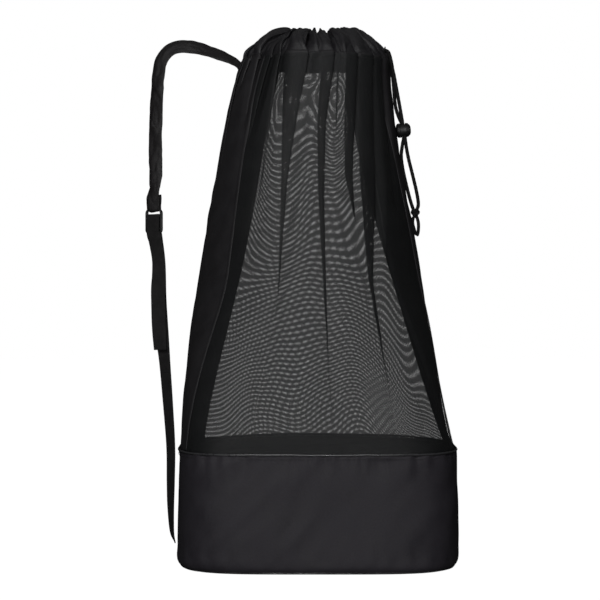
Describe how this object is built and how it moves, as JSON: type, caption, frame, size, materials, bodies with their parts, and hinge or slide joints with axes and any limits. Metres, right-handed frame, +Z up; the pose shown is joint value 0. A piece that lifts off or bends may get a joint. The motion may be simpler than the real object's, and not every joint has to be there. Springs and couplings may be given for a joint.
{
  "type": "mesh ball bag",
  "caption": "Tall drawcord bag for carrying balls: a flat round drum base, see-through mesh panels, a gathered mouth with a cord lock and an adjustable shoulder strap.",
  "frame": {"origin": "centre of the drum's flat bottom, on the surface that the bag stands on", "axes": "+Z up along the bag, -Y the wide front mesh panel, -X the shoulder strap, +X the drawcord"},
  "size_m": [0.5047, 0.452, 0.858],
  "materials": {
    "drum_fabric": "woven",
    "side_fabric": "woven",
    "casing_fabric": "woven",
    "mesh": "open mesh",
    "tape": "topstitched",
    "piping": "satin",
    "strap_fabric": "woven",
    "webbing": "ribbed",
    "cord": "braided",
    "eyelet": "moulded",
    "stiffener": "foam",
    "lock_plastic": "moulded",
    "buckle_plastic": "moulded",
    "spring_steel": "wire"
  },
  "bodies": {
    "bag": {"base_panel": "drum_fabric", "base_stiffener": "stiffener", "drum_wall": "drum_fabric", "drum_side_seam": "tape", "rim_hem_tape": "tape", "bottom_piping": "piping", "rim_piping": "piping", "front_mesh": "mesh", "back_mesh": "mesh", "left_side_panel": "side_fabric", "right_side_panel": "side_fabric", "front_left_tape": "tape", "front_right_tape": "tape", "back_left_tape": "tape", "back_right_tape": "tape", "casing": "casing_fabric", "casing_binding": "tape", "cord_eyelets": "eyelet", "drawcord_ring": "cord", "drawcord_front_tail": "cord", "drawcord_rear_tail": "cord", "drawcord_knot": "cord", "drawcord_ends": "cord", "strap_top_tab": "strap_fabric", "strap_bottom_tab": "webbing"},
    "strap": {"upper_strap": "strap_fabric", "lower_webbing": "webbing", "strap_loop": "strap_fabric"},
    "buckle": {"ladder_lock": "buckle_plastic", "webbing_wrap": "webbing"},
    "webbing_end": {"webbing_tail": "webbing"},
    "cord_lock": {"lock_barrel": "lock_plastic", "lock_spring": "spring_steel"},
    "lock_plunger": {"lock_button": "lock_plastic"}
  },
  "joints": [
    {"name": "strap_swing", "type": "hinge", "parent": "bag", "child": "strap", "pos_m": [-0.239, 0, 0.1205], "axis": [0.1487, 0, 0.9889], "range_deg": [-35, 35]},
    {"name": "buckle_tilt", "type": "hinge", "parent": "strap", "child": "buckle", "pos_m": [-0.2645, 0, 0.5685], "axis": [0.848, -0.5299, 0], "range_deg": [-35, 0]},
    {"name": "tail_swing", "type": "hinge", "parent": "buckle", "child": "webbing_end", "pos_m": [-0.266, -0.006, 0.52], "axis": [0, 1, 0], "range_deg": [0, 45]},
    {"name": "cord_lock_slide", "type": "slide", "parent": "bag", "child": "cord_lock", "axis": [-0.0958, 0, 0.9954], "range_m": [-0.04, 0.08]},
    {"name": "lock_button_press", "type": "slide", "parent": "cord_lock", "child": "lock_plunger", "axis": [-0.9954, 0, -0.0958], "range_m": [0, 0.0035], "stiffness_N_per_m": 500, "springref_m": -0.004, "deforming": ["lock_spring"]}
  ]
}
